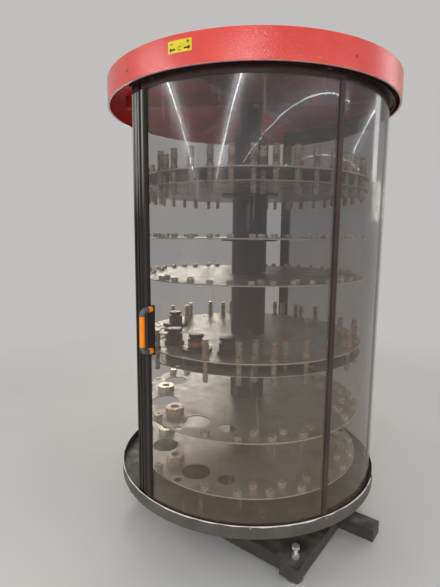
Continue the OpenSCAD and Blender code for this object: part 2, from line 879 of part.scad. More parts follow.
liner_t = 3;
module door_liner() {
    color("#191716") sweep(door_az0 + stile_az, door_az0 + stile_az + liner_az)
        slab(door_out, door_out + liner_t, stile_z0, stile_z1);
}

handle_az = door_az0 + stile_az + liner_az / 2;
handle_seat = door_out + liner_t;
handle_mid = door_out + stile_leg - 1 + handle_reach;
elbow_bend = 26;
grip_h = 142;
cap_h = 20;
cap_edge = 2;
// Half a handle above its middle: arm out from the cap, quarter bend and socket to the grip
module elbow() {
    r = grip_d / 2;
    arm = handle_mid - elbow_bend;
    translate([0, -handle_seat - cap_h, 0]) rotate([90, 0, 0])
        cylinder(r = r, h = arm - handle_seat - cap_h, $fn = small);
    translate([0, -arm, -elbow_bend]) rotate([0, -90, 180]) rotate_extrude(angle = 90, $fn = 64)
        translate([elbow_bend, 0]) circle(r = r, $fn = small);
    translate([0, -handle_mid, grip_h / 2 - handle_pitch / 2])
        cylinder(r = r, h = handle_pitch / 2 - elbow_bend - grip_h / 2, $fn = small);
}

module handle_elbows() {
    color("#5d5a57") place(handle_az, 0, handle_z) {
        translate([0, 0, handle_pitch / 2]) elbow();
        mirror([0, 0, 1]) translate([0, 0, handle_pitch / 2]) elbow();
    }
}

module handle_grip() {
    color("#f08a1c") place(handle_az, handle_mid, handle_z - grip_h / 2)
        cylinder(r = grip_d / 2, h = grip_h, $fn = small);
}

// Round caps over the handle's screws, between the door and the elbows
module handle_caps() {
    r = grip_d / 2 + 1;
    color("#f08a1c") for (s = [-1, 1])
        place(handle_az, handle_seat, handle_z + s * handle_pitch / 2) rotate([90, 0, 0])
            rotate_extrude($fn = small) polygon([
                [0, 0], [r, 0], [r, cap_h - cap_edge], [r - cap_edge, cap_h], [0, cap_h]
            ]);
}

roller_az = [door_az0 + roller_inset, door_az1 - roller_inset];
track_mid = (door_r + door_out) / 2;
bracket_az = 1.2;
bracket_drop = 7;
axle_short = 0.4;
axle_len = rail_out - rail_in + bracket_t / 2 - axle_short;
axle_head_t = 1.4;
guide_play = 0.5;
guide_z0 = door_z1 + edge_web + guide_play;
guide_h = guide_z - guide_shelf_t - guide_z0 - guide_play;
// Plates that hang from the door's lower channel with the wheels' axles, and the pins of the
// guide rollers on its upper channel
module roller_mounts() {
    color("#8c8a87") for (az = roller_az) {
        sweep(az - bracket_az, az + bracket_az)
            slab(rail_in - bracket_t, rail_in, wheel_z - bracket_drop, door_z0 + edge_leg_low);
        place(az, rail_in - bracket_t / 2, wheel_z) rotate([90, 0, 0]) {
            cylinder(r = axle_r, h = axle_len, $fn = small);
            translate([0, 0, axle_len]) cylinder(r = axle_head_r, h = axle_head_t, $fn = small);
        }
        place(az, guide_mid, door_z1 + edge_web)
            cylinder(r = guide_pin_r, h = guide_h + 2 * guide_play, $fn = small);
    }
}

module bottom_roller(az) {
    color("#d9d5cd") place(az, track_mid - wheel_w / 2, wheel_z) rotate([90, 0, 0]) difference() {
        cylinder(r = wheel_r, h = wheel_w, $fn = small);
        translate([0, 0, -1]) cylinder(r = axle_r + run_gap, h = wheel_w + 2, $fn = small);
    }
}
module top_roller(az) {
    color("#d9d5cd") place(az, guide_mid, guide_z0) difference() {
        cylinder(r = guide_r, h = guide_h, $fn = small);
        translate([0, 0, -1]) cylinder(r = guide_pin_r + run_gap, h = guide_h + 2, $fn = small);
    }
}
module bottom_roller_a() { bottom_roller(roller_az[0]); }
module bottom_roller_b() { bottom_roller(roller_az[1]); }
module top_roller_a() { top_roller(roller_az[0]); }
module top_roller_b() { top_roller(roller_az[1]); }

cross_beams();
side_beams();
outrigger_beam();
beam_end_caps();
foot_pads();
levelling_bolts();
locknuts();
pedestal();
base_ring();
deck_plate();
door_track();
panel_sill();
mast();
bearing_race();
upper_bearing();
spider_arms();
spider_hub();
upper_rail();
crown();
cover_posts();
post_brackets();
post_seal();
centre_panel();
right_panel();
panel_joint();
drive_gearmotor();
drive_pinion();
ring_gear();
drum_base();
drum_tube();
shelf_collars();
shelf_spacers();
punch_plate_a();
guide_plate_a();
die_plate_a();
die_plate_b();
punch_plate_b();
guide_plate_b();
die_plate_c();
die_plate_d();
punches_a();
punches_b();
large_punches();
small_dies();
medium_dies();
large_dies();
door_sheet();
door_bottom_rail();
door_top_rail();
door_stile();
door_liner();
door_strip();
handle_elbows();
handle_grip();
handle_caps();
roller_mounts();
bottom_roller_a();
bottom_roller_b();
top_roller_a();
top_roller_b();
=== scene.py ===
"""Looks of the tool tower of a punch press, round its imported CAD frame.

Shapes are worked out in millimetres, and place_piece puts them into a mesh in metres. Finishes,
lamps and the camera are in metres. Angles called az are degrees from the front (-Y), positive
towards +X, as in the part's source."""
import json
import math

import bmesh
import bpy
import numpy as np
from mathutils import Matrix, Vector


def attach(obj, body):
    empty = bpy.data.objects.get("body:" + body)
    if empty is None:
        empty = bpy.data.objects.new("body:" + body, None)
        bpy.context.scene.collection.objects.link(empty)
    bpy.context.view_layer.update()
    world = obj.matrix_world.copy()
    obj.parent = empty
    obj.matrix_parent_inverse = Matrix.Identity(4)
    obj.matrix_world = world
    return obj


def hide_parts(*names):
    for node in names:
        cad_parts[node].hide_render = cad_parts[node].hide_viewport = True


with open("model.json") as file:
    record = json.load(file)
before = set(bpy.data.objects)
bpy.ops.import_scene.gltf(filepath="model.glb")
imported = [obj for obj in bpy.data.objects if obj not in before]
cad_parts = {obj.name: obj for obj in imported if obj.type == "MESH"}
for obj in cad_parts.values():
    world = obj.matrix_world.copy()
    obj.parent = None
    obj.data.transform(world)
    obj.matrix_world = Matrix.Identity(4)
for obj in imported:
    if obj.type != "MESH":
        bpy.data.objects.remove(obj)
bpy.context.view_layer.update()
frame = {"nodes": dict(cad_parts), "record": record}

MM = 0.001
WELD = 2e-6
# Sides of small, medium and large round forms.
SMALL_SIDES, MEDIUM_SIDES, LARGE_SIDES = 20, 24, 48


# ---------------------------------------------------------------- shapes
def quads(rows, cols, wrap_rows, wrap_cols):
    """Corners of the cells between neighbouring rows and columns of a grid of points. Where it
    wraps, the last row or column meets the first."""
    i, j = np.meshgrid(np.arange(rows - (not wrap_rows)), np.arange(cols - (not wrap_cols)),
                       indexing="ij")
    i1, j1 = (i + 1) % rows, (j + 1) % cols
    return np.stack([i * cols + j, i * cols + j1, i1 * cols + j1, i1 * cols + j], -1).reshape(-1, 4)


def closed(rows, cols):
    """Faces of a form whose rows are rings of points, with one face on its first ring and one on
    its last."""
    return quads(rows, cols, False, True).tolist() + [
        list(range(cols)), list(range((rows - 1) * cols, rows * cols))]


def polar(az, r, z):
    """Points at az degrees, radius r and height z: (r sin az, -r cos az, z)."""
    a = np.radians(az)
    return np.stack(np.broadcast_arrays(r * np.sin(a), -r * np.cos(a), z), -1)


def eased(outline, edge=0.6, steps=3):
    """The outline with each corner P off the axis eased between A and C, which lie on its two
    sides, edge from it or 0.45 of a short side: (1-t)^2 A + 2t(1-t) P + t^2 C."""
    p = np.asarray(outline, float)

    def towards(other):
        side = other - p
        length = np.maximum(np.linalg.norm(side, axis=1, keepdims=True), 1e-9)
        return p + side / length * np.minimum(edge, length * 0.45) * (p[:, :1] > 0)

    a, c = towards(np.roll(p, 1, 0)), towards(np.roll(p, -1, 0))
    t = np.linspace(0, 1, steps)[:, None, None]
    return ((1 - t) ** 2 * a + 2 * t * (1 - t) * p + t ** 2 * c).transpose(1, 0, 2).reshape(-1, 2)


def revolved(profile, az0=0, az1=360, step=1.5):
    """The profile of (r, z) corners carried round the mast from az0 to az1, its ends closed unless
    they meet."""
    whole = az1 - az0 >= 360
    az = np.linspace(az0, az1, math.ceil((az1 - az0) / step) + 1)[:-1 if whole else None]
    rows, cols = len(az), len(profile)
    faces = quads(rows, cols, True, True).tolist() if whole else closed(rows, cols)
    return polar(az[:, None], profile[:, 0], profile[:, 1]).reshape(-1, 3), faces


def turned(profile, places, sides):
    """The profile of (r, z) turned about an upright axis at each place, given as (az, r, z)."""
    ring = polar(np.arange(sides)[:, None] * 360 / sides, profile[:, 0], profile[:, 1])
    centres = polar(*np.asarray(places, float).T)
    points = centres[:, None, None] + ring
    cells = quads(sides, len(profile), True, True)
    starts = np.arange(len(centres)) * sides * len(profile)
    return points.reshape(-1, 3), (starts[:, None, None] + cells).reshape(-1, 4).tolist()


def outward(profile, az, r, z, sides=32):
    """The profile of (radius, distance out) turned about the line that leaves the mast at az and
    height z, counted from radius r."""
    a = np.arange(sides)[:, None] * 2 * np.pi / sides
    out = np.broadcast_to(r + profile[:, 1], (sides, len(profile)))
    across, up = profile[:, 0] * np.cos(a), profile[:, 0] * np.sin(a)
    ray, side = polar(az, 1, 0), polar(az + 90, 1, 0)
    points = out[..., None] * ray + across[..., None] * side
    points[..., 2] += z + up
    return points.reshape(-1, 3), quads(sides, len(profile), True, True).tolist()


def upright(outline, z0, z1):
    """The plan outline of (az, r) corners raised from z0 to z1, both ends closed."""
    az, r = np.asarray(outline, float).T
    points = np.stack([polar(az, r, z0), polar(az, r, z1)])
    return points.reshape(-1, 3), closed(2, len(az))


def arc(az0, az1, r, steps=6):
    """Corners along an arc of radius r in plan."""
    az = np.linspace(az0, az1, steps + 1)
    return np.stack([az, np.full(len(az), float(r))], -1)


def tube(path, radius, across, sides=28):
    """A circle of that radius carried along the path, square to it: across is the direction that
    stays level with every circle. Its ends are closed."""
    along = np.gradient(path, axis=0)
    along /= np.linalg.norm(along, axis=1, keepdims=True)
    other = np.cross(along, across)
    a = np.arange(sides)[:, None] * 2 * np.pi / sides
    points = path[:, None] + radius * (np.cos(a) * across + np.sin(a) * other[:, None])
    return points.reshape(-1, 3), closed(len(path), sides)


def joined(*shapes):
    """Several shapes as one: their points in a row, their faces' numbers moved on."""
    points, faces, start = [], [], 0
    for p, f in shapes:
        points.append(p)
        faces += [[k + start for k in face] for face in f]
        start += len(p)
    return np.concatenate(points), faces


def place_piece(name, shape, finish, body, nodes=(), picks=None, others=(), sharp=17):
    """Makes the piece from its points and faces, closes it, shades it and lets it ride its body.
    picks gives each face's place in the list of finish and others. Edges that turn by more than
    sharp degrees stay sharp."""
    points, faces = shape
    mesh = bpy.data.meshes.new(name)
    mesh.from_pydata((points * MM).tolist(), [], faces)
    if picks is not None:
        mesh.polygons.foreach_set("material_index", np.asarray(picks, np.int32))
    shell = bmesh.new()
    shell.from_mesh(mesh)
    bmesh.ops.remove_doubles(shell, verts=shell.verts, dist=WELD)
    bmesh.ops.recalc_face_normals(shell, faces=shell.faces)
    shell.to_mesh(mesh)
    shell.free()
    mesh.shade_smooth()
    mesh.set_sharp_from_angle(angle=math.radians(sharp))
    for each in (finish, *others):
        mesh.materials.append(finishes[each])
    piece = bpy.data.objects.new(name, mesh)
    bpy.context.scene.collection.objects.link(piece)
    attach(piece, body)
    if nodes:
        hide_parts(*nodes)


# ---------------------------------------------------------------- finishes
# Limits between which nearly all of a noise lies, and closer ones for clouds of more contrast.
NOISE, CLOUDS = (0.3, 0.7), (0.35, 0.65)
# Places of a Mix node's two colours among its inputs, and of the mixed one among its outputs.
FIRST, SECOND, MIXED = 6, 7, 2
DUST = (0.30, 0.27, 0.235)


class Finish:
    """A procedural finish on Object coordinates. Each call adds its nodes and gives their
    result."""

    def __init__(self, name, **sockets):
        self.name = name
        self.material = bpy.data.materials.new(name)
        self.material.use_nodes = True
        self.tree = self.material.node_tree
        self.shader = self.tree.nodes["Principled BSDF"]
        self.at = self.tree.nodes.new("ShaderNodeTexCoord").outputs["Object"]
        for socket, value in sockets.items():
            self.set(socket.replace("_", " "), value)

    def feed(self, socket, value):
        """Gives the socket a link, a colour that lacks its alpha, or a plain value."""
        if isinstance(value, bpy.types.NodeSocket):
            self.tree.links.new(value, socket)
        elif isinstance(value, tuple) and len(value) < len(socket.default_value):
            socket.default_value = (*value, 1)
        else:
            socket.default_value = value

    def set(self, socket, value):
        self.feed(self.shader.inputs[socket], value)

    def node(self, kind, inputs, output=0, **settings):
        made = self.tree.nodes.new("ShaderNode" + kind)
        for key, value in settings.items():
            setattr(made, key, value)
        for key, value in inputs.items():
            self.feed(made.inputs[key], value)
        return made.outputs[output]

    def noise(self, scale, detail, stretch=(1, 1, 1)):
        """Noise of that many cells per metre, stretched by one over each number."""
        at = self.node("Mapping", {"Vector": self.at, "Scale": stretch})
        return self.node("TexNoise", {"Vector": at, "Scale": scale, "Detail": detail})

    def band(self, value, low, high, to_low=0.0, to_high=1.0):
        """value carried from low..high to to_low..to_high, and no further."""
        return self.node("MapRange", {"Value": value, "From Min": low, "From Max": high,
                                      "To Min": to_low, "To Max": to_high})

    def maths(self, operation, a, b):
        return self.node("Math", {0: a, 1: b}, operation=operation)

    def mix(self, part, a, b):
        """Colour a where part is 0, carried to b where it is 1."""
        return self.node("Mix", {0: part, FIRST: a, SECOND: b}, MIXED, data_type="RGBA")

    def height(self):
        """Height above the floor: z."""
        return self.node("SeparateXYZ", {0: self.at}, "Z")

    def reach(self):
        """Distance from the mast's axis: the length of (x, y, 0)."""
        flat = self.node("VectorMath", {0: self.at, 1: (1, 1, 0)}, operation="MULTIPLY")
        return self.node("VectorMath", {0: flat}, "Value", operation="LENGTH")

    def upward(self):
        """1 where the surface faces up, 0 where it stands upright and -1 where it faces down."""
        return self.node("SeparateXYZ", {0: self.node("NewGeometry", {}, "Normal")}, "Z")

    def bump(self, height, strength, distance=0.0005):
        self.set("Normal", self.node("Bump", {"Height": height, "Strength": strength,
                                              "Distance": distance}))


def shade(colour, factor):
    """The colour with each of its numbers multiplied by factor, 1 at most."""
    return tuple(min(1.0, c * factor) for c in colour)


def coated(name, colour, rough, dust=0.0, cloud=7, grain=260, grit=0.2, spread=0.18, **sockets):
    """Paint, plastic or plain metal: cloudy tone, grainy sheen, fine bump, and dust where it
    faces up."""
    f = Finish(name, **sockets)
    tone = f.mix(f.band(f.noise(cloud, 5), *CLOUDS), shade(colour, 1 - spread),
                 shade(colour, 1 + spread))
    if dust:
        settled = f.maths("MULTIPLY", f.band(f.upward(), 0.2, 0.95, 0.12, 1),
                          f.band(f.noise(cloud * 2.3, 6), 0.38, 0.72, 0, dust))
        tone = f.mix(settled, tone, DUST)
    f.set("Base Color", tone)
    f.set("Roughness", f.band(f.noise(cloud * 5, 3), *NOISE, rough - 0.07, rough + 0.09))
    f.bump(f.noise(grain, 2), grit)
    return f


def machined(name, colour, rough, stretch=(1, 1, 12), lines=140, spread=0.16, stain=0.0, metal=1.0):
    """Bare steel: fine lines along one direction, cloudy stains, sheen that follows the lines."""
    f = Finish(name, Metallic=metal)
    line = f.noise(lines, 2, stretch)
    tone = f.mix(f.band(line, *NOISE), shade(colour, 1 - spread), shade(colour, 1 + spread))
    if stain:
        tone = f.mix(f.band(f.noise(11, 5), 0.5, 0.75, 0, stain), tone, (0.16, 0.105, 0.07))
    f.set("Base Color", tone)
    f.set("Roughness", f.band(line, *NOISE, rough - 0.08, rough + 0.1))
    f.bump(line, 0.12, 0.0002)
    return f


def crown_red():
    """Orange-peel gloss: small soft bumps that break up each glare, with the sheet's pale cut edge
    showing along the band's lower rim and dust on the top."""
    cut_edge = (2.3421, 2.3413)
    f = Finish("crown_red", Specular_IOR_Level=0.8)
    tone = f.mix(f.band(f.noise(5, 4), *CLOUDS), (0.70, 0.048, 0.036), (0.78, 0.064, 0.050))
    tone = f.mix(f.band(f.noise(60, 6), 0.66, 0.78, 0, 0.25), tone, (0.50, 0.060, 0.050))
    rim = f.maths("MULTIPLY", f.band(f.height(), *cut_edge),
                  f.band(f.noise(38, 5), 0.3, 0.45, 0.35, 1))
    tone = f.mix(rim, tone, (0.52, 0.47, 0.43))
    top = f.maths("MULTIPLY", f.band(f.upward(), 0.7, 1),
                  f.band(f.noise(3.5, 8), 0.35, 0.75, 0.10, 0.30))
    f.set("Base Color", f.mix(top, tone, shade(DUST, 0.9)))
    f.set("Roughness", f.band(f.noise(24, 3), *NOISE, 0.16, 0.23))
    f.bump(f.noise(190, 3), 0.9, 0.0014)
    return f


def smoked_sheet():
    """Smoked acrylic, grey-brown and graded by height: darker and denser above as painted shade
    under the crown, lighter and warmer below. A clear gloss gives the sharp reflections, and the
    finely scratched surface under it the wide glow round them. Dust lies on it in a patchy film,
    with long scratches and marks of wiping."""
    f = Finish("smoked_sheet", IOR=1.42, Specular_IOR_Level=0.9, Coat_Weight=0.7,
               Coat_Roughness=0.02, Coat_IOR=1.40)
    height = f.height()
    # Painted shade: the sheet's colour darkens from 0.4 m up to 1.7 m, for the shade under the
    # crown.
    tone = f.mix(f.band(height, 0.4, 1.7), (0.145, 0.102, 0.060), (0.062, 0.053, 0.057))
    film = f.band(f.noise(6, 6, (1, 1, 0.35)), 0.45, 0.75, 0, 0.2)
    tone = f.mix(film, tone, (0.25, 0.215, 0.18))
    scratch = f.band(f.noise(26, 7, (1.6, 1.6, 0.12)), 0.63, 0.70, 0, 1)
    wipe = f.band(f.noise(90, 4, (0.25, 0.25, 1.0)), 0.66, 0.74, 0, 1)
    marks = f.maths("MAXIMUM", scratch, wipe)
    f.set("Base Color", f.mix(f.maths("MULTIPLY", marks, 0.3), tone, (0.42, 0.39, 0.36)))
    f.set("Roughness", f.band(f.noise(14, 5, (1, 1, 0.2)), 0.35, 0.7, 0.14, 0.22))
    # Painted shade: the sheet grows more opaque with height, darkening the view in under the crown.
    cover = f.band(height, 0.5, 2.0, 0.31, 0.39)
    f.set("Alpha", f.maths("ADD", cover, f.maths("MULTIPLY", marks, 0.10)))
    f.bump(f.noise(3, 2), 0.05, 0.002)
    return f


def base_ring_paint():
    """Dark satin paint, dusty, with the upper lip worn to bright steel and chips under it."""
    f = coated("base_ring_paint", (0.070, 0.062, 0.054), 0.46, dust=0.5)
    # The lip is 0.380 m up, and the noise lifts each point by about 0.009 m.
    ragged = f.maths("ADD", f.height(), f.maths("MULTIPLY", f.noise(11, 6), 0.018))
    lip = f.band(ragged, 0.3858, 0.3866)
    chips = f.maths("MULTIPLY", f.band(f.noise(75, 5), 0.66, 0.70),
                    f.band(f.height(), 0.355, 0.379))
    tone = f.shader.inputs["Base Color"].links[0].from_socket
    f.set("Base Color", f.mix(f.maths("MAXIMUM", lip, chips), tone, (0.68, 0.66, 0.61)))
    return f


def shelf_steel():
    """Ground plate: concentric grinding lines, oily stains, and a pale rim, partly the bare cut
    edge and partly a painted highlight where the edge catches light, pinkish on the upper punch
    plate."""
    rim_reach, upper_plate = (0.6428, 0.6431), (1.88, 1.90)
    f = Finish("shelf_steel")
    reach = f.reach()
    line = f.node("TexNoise", {"Vector": f.node("CombineXYZ", {0: reach, 2: f.height()}),
                               "Scale": 900.0, "Detail": 2.0})
    tone = f.mix(f.band(line, *NOISE), (0.46, 0.43, 0.385), (0.60, 0.565, 0.51))
    tone = f.mix(f.band(f.noise(7, 6), 0.48, 0.72, 0, 0.55), tone, (0.22, 0.18, 0.14))
    # Painted highlight: the pale, less metallic rim stands partly for the cut edge catching light.
    rim = f.band(reach, *rim_reach)
    pale = f.mix(f.band(f.height(), *upper_plate), (0.90, 0.84, 0.70), (0.90, 0.72, 0.62))
    f.set("Base Color", f.mix(rim, tone, pale))
    f.set("Metallic", f.band(rim, 0, 1, 0.5, 0.1))
    f.set("Roughness", f.band(f.noise(18, 4), *NOISE, 0.30, 0.5))
    f.bump(line, 0.08, 0.0002)
    return f


def tool_steel(name, first, second, rough):
    """Tool steel whose tint changes from one tool to the next: slow noise between two tints."""
    f = Finish(name, Metallic=0.45)
    tint = f.mix(f.band(f.noise(13, 0), 0.46, 0.54), first, second)
    tone = f.mix(f.band(f.noise(160, 3, (1, 1, 4)), 0.35, 0.7, 0, 0.35), tint, shade(first, 0.45))
    f.set("Base Color", tone)
    f.set("Roughness", f.band(f.noise(90, 3), *NOISE, rough - 0.07, rough + 0.1))
    f.bump(f.noise(400, 2), 0.1, 0.0002)
    return f


def anodised():
    """Drawn and anodised aluminium: long fine lines down the profile, and its lower part coloured
    nearly black as painted shade, standing in for the darker reflection low down."""
    painted_shade_to_light = (1.75, 2.05)
    f = Finish("post_aluminium", Metallic=0.85)
    line = f.noise(420, 3, (1, 1, 0.012))
    tone = f.mix(f.band(line, *NOISE), (0.30, 0.295, 0.29), (0.42, 0.415, 0.41))
    tone = f.mix(f.band(f.noise(5, 5), 0.5, 0.75, 0, 0.4), tone, (0.15, 0.14, 0.13))
    # Painted shade: below 1.75 m the profile is coloured nearly black, reaching its own tone by
    # 2.05 m.
    f.set("Base Color", f.mix(f.band(f.height(), *painted_shade_to_light), (0.036, 0.033, 0.029), tone))
    f.set("Roughness", f.band(line, *NOISE, 0.30, 0.46))
    f.bump(line, 0.1, 0.0002)
    return f


finishes = {f.name: f.material for f in (
    crown_red(), smoked_sheet(), base_ring_paint(), shelf_steel(), anodised(),
    coated("base_paint", (0.038, 0.036, 0.033), 0.52, dust=0.45, cloud=5),
    coated("dark_steel", (0.060, 0.054, 0.050), 0.42, dust=0.35),
    # Painted reflection: black_profile is tinted dark maroon for the crown's red band seen in it.
    coated("black_profile", (0.030, 0.011, 0.011), 0.42, dust=0.2, grain=400,
           Specular_IOR_Level=0.25),
    coated("strip_dark", (0.026, 0.023, 0.021), 0.36, grain=400, Specular_IOR_Level=0.25),
    coated("strip_brown", (0.056, 0.034, 0.030), 0.36, grain=400, Specular_IOR_Level=0.25),
    coated("seal_rubber", (0.014, 0.009, 0.009), 0.72, dust=0.2, grain=600, grit=0.35,
           Specular_IOR_Level=0.25),
    coated("motor_grey", (0.12, 0.13, 0.145), 0.45, dust=0.5),
    coated("holder_dark", (0.040, 0.034, 0.031), 0.30, grain=300, Metallic=0.6),
    coated("handle_grey", (0.105, 0.102, 0.098), 0.48, grain=700, grit=0.3),
    coated("handle_orange", (0.98, 0.25, 0.004), 0.36, cloud=20, grain=700, spread=0.06,
           Specular_IOR_Level=0.3),
    coated("roller_nylon", (0.66, 0.64, 0.59), 0.5, dust=0.3),
    coated("plate_yellow", (0.80, 0.64, 0.012), 0.42, cloud=30, spread=0.08),
    coated("marks_black", (0.015, 0.014, 0.013), 0.5),
    coated("arm_paint", (0.40, 0.032, 0.026), 0.5, dust=0.2, Specular_IOR_Level=0.2),
    coated("ring_red", (0.52, 0.03, 0.025), 0.4, cloud=30),
    machined("galvanised", (0.50, 0.49, 0.47), 0.38, (1, 1, 1), lines=90, stain=0.35, metal=0.5),
    machined("bearing_bronze", (0.55, 0.38, 0.18), 0.3),
    machined("black_screw", (0.018, 0.016, 0.015), 0.5, metal=0.2),
    tool_steel("punch_bronze", (0.74, 0.40, 0.25), (0.80, 0.66, 0.52), 0.28),
    tool_steel("punch_body", (0.72, 0.64, 0.54), (0.60, 0.44, 0.33), 0.30),
    tool_steel("die_steel", (0.90, 0.84, 0.70), (0.84, 0.62, 0.44), 0.24),
)}

SLOT_OF_NODE = {s["node"]: s["material_slot"] for s in frame["record"]["subparts"]}
PAINTED_RED = ("spider_arms", "spider_hub")
for name, node in frame["nodes"].items():
    for entry in node.material_slots:
        entry.material = finishes["arm_paint" if name in PAINTED_RED else SLOT_OF_NODE[name]]

# ---------------------------------------------------------------- crown and its plate
CROWN_R, CROWN_LOW, TOWER_H = 780, 2341, 2465
BAND_IN, LIP_IN, TOP_UNDER = 775, 770, 2461
place_piece("crown_shell", revolved(eased([
    (0, TOP_UNDER), (BAND_IN, TOP_UNDER), (BAND_IN, CROWN_LOW + 5), (LIP_IN, CROWN_LOW + 5),
    (LIP_IN, CROWN_LOW), (CROWN_R, CROWN_LOW), (CROWN_R, TOWER_H - 2), (CROWN_R - 2, TOWER_H),
    (0, TOWER_H)], 0.9), step=1), "crown_red", "frame", ["crown"])

SCREW_HEAD = eased([(0, -1), (6.5, -1), (6.5, 0), (5.6, 0.3), (3.4, 0.3), (3.2, -0.8),
                    (0, -0.8)], 0.15)
SCREWS_AZ, SCREWS_Z = (-101.1, -24.2, 2.3, 62, 122, -160), 2393
SMALL_AZ, SMALL_Z, SMALL_SIZE = -26.2, 2395, 0.45
place_piece("crown_screws", joined(
    *[outward(SCREW_HEAD, az, CROWN_R, SCREWS_Z) for az in SCREWS_AZ],
    outward(SCREW_HEAD * (SMALL_SIZE, 1), SMALL_AZ, CROWN_R, SMALL_Z)), "black_screw", "frame")

PLATE_AZ, SUNK, PLATE_RISE, MARK_RISE, ARROW_RISE = -78.15, -0.4, 0.35, 0.5, 0.55


def on_crown(u0, u1, v0, v1, rise, cols=6):
    """A thin plate bent round the crown, its back just inside the band: u runs round the crown in
    millimetres from the direction plate's middle, and v is the height."""
    az = PLATE_AZ + np.degrees(np.linspace(u0, u1, cols + 1) / CROWN_R)
    rows = [polar(az, CROWN_R + out, v) for out, v in (
        (SUNK, v0), (rise, v0), (rise, v1), (SUNK, v1))]
    n = cols + 1
    ends = [list(range(first, 4 * n, n)) for first in (0, cols)]
    return np.concatenate(rows), quads(4, n, True, False).tolist() + ends


def turned_arrow(u, v, size, half):
    """A generic turning arrow: most of a ring as short square bars, their middles at
    (u + size cos a, v + size sin a)."""
    return [on_crown(u + size * math.cos(a) - half, u + size * math.cos(a) + half,
                     v + size * math.sin(a) - half, v + size * math.sin(a) + half, ARROW_RISE, 1)
            for a in np.linspace(0.25, 1.75, 10) * np.pi]


bars = [on_crown(u0, u1, v0, v1, MARK_RISE, cols) for u0, u1, v0, v1, cols in (
    (-45, -31, 2427, 2430.5, 6), (30, 44, 2429, 2432.5, 6), (35.2, 38.8, 2423.5, 2438, 6),
    (-40, -20, 2405, 2411.5, 6), (-46, -38, 2402, 2414.5, 2), (20, 40, 2405, 2411.5, 6),
    (38, 46, 2402, 2414.5, 2))]
place_piece("direction_marks", joined(*bars, *turned_arrow(0, 2409, 7.5, 1.5)),
            "marks_black", "frame")
place_piece("direction_plate", on_crown(-54, 54, 2395, 2441.5, PLATE_RISE, 12),
            "plate_yellow", "frame")

# ---------------------------------------------------------------- base ring, track, sill and rail
COVER_END, RAIL_END, RAIL_LOW = 99.6, 104.4, 2311
place_piece("base_ring_band", revolved(eased([
    (640, 318), (747, 318), (747, 378.5), (745.5, 380), (742.5, 380), (741, 378.5), (741, 326),
    (640, 326)], 0.7), step=1), "base_ring_paint", "frame", ["base_ring"])
place_piece("track_strip", revolved(eased([(730.8, 334), (739.2, 334), (739.2, 344), (730.8, 344)]),
                                    -COVER_END, COVER_END), "dark_steel", "frame", ["door_track"])
place_piece("sill_channel", revolved(eased([
    (720, 334), (728, 334), (728, 350), (726, 350), (726, 338), (722, 338), (722, 350),
    (720, 350)], 0.4), -27.5, COVER_END), "black_profile", "frame", ["panel_sill"])
place_piece("rail_ring", revolved(eased([
    (716, RAIL_LOW), (722, RAIL_LOW), (722, 2354), (745, 2354), (745, 2340), (749, 2340),
    (749, 2360), (722, 2360), (722, 2401), (689, 2401), (689, 2393), (716, 2393)], 0.7),
    -RAIL_END, RAIL_END), "black_profile", "frame", ["upper_rail"])

# ---------------------------------------------------------------- smoked sheets
FIXED_IN, FIXED_LOW, FIXED_TOP = 722, 338, 2348
DOOR_IN, DOOR_OUT, DOOR_LOW, DOOR_TOP = 733, 737, 373.8, 2338
SHEET_THICK = DOOR_OUT - DOOR_IN


def curved_sheet(r, z0, z1, az0, az1):
    """A sheet of inner radius r from z0 to z1 with eased edges, bent round the mast from az0 to
    az1."""
    out = r + SHEET_THICK
    return revolved(eased([(r, z0), (out, z0), (out, z1), (r, z1)], 0.5), az0, az1, 1)


place_piece("centre_sheet", curved_sheet(FIXED_IN, FIXED_LOW, FIXED_TOP, -27.5, 27.4),
            "smoked_sheet", "frame", ["centre_panel"])
place_piece("right_sheet", curved_sheet(FIXED_IN, FIXED_LOW, FIXED_TOP, 27.6, COVER_END),
            "smoked_sheet", "frame", ["right_panel"])
place_piece("door_curved_sheet", curved_sheet(DOOR_IN, DOOR_LOW, DOOR_TOP, -97.5, -25.6),
            "smoked_sheet", "door", ["door_sheet"])
place_piece("joint_strip", joined(*[
    upright(np.concatenate([arc(26.5, 28.5, r + 2), arc(28.5, 26.5, r)]), 350, RAIL_LOW)
    for r in (720, 726)]), "black_profile", "frame", ["panel_joint"])

# ---------------------------------------------------------------- door edges
LEAD_AZ, TRAIL_AZ, LEG_IN, LEG_OUT = -97.8, -25.3, 729, 741
# The door's upright edges stand between the lower channel's top and the upper channel's foot.
EDGE_LOW, EDGE_TOP, RIM_IN, RIM_OUT = 387.8, 2311, 730.8, 739.2
place_piece("lower_edge_channel", revolved(eased([
    (RIM_IN, 369.8), (RIM_OUT, 369.8), (RIM_OUT, EDGE_LOW), (DOOR_OUT, EDGE_LOW),
    (DOOR_OUT, DOOR_LOW), (DOOR_IN, DOOR_LOW), (DOOR_IN, EDGE_LOW), (RIM_IN, EDGE_LOW)], 0.4),
    LEAD_AZ, TRAIL_AZ), "black_profile", "door", ["door_bottom_rail"])
place_piece("upper_edge_channel", revolved(eased([
    (RIM_IN, EDGE_TOP), (DOOR_IN, EDGE_TOP), (DOOR_IN, DOOR_TOP), (DOOR_OUT, DOOR_TOP),
    (DOOR_OUT, EDGE_TOP), (RIM_OUT, EDGE_TOP), (RIM_OUT, 2342), (RIM_IN, 2342)], 0.4),
    LEAD_AZ, TRAIL_AZ), "black_profile", "door", ["door_top_rail"])


def edge_channel(az, cover, end):
    """A channel round an upright edge of the door's sheet, in plan: along the outer leg from az,
    back along the sheet to its edge, round that and along the sheet, and back along the inner
    leg. cover and end are how far from az the legs and the sheet's edge end."""
    return np.concatenate([arc(az, az + cover, LEG_OUT), arc(az + cover, az + end, DOOR_OUT),
                           arc(az + end, az + cover, DOOR_IN), arc(az + cover, az, LEG_IN)])


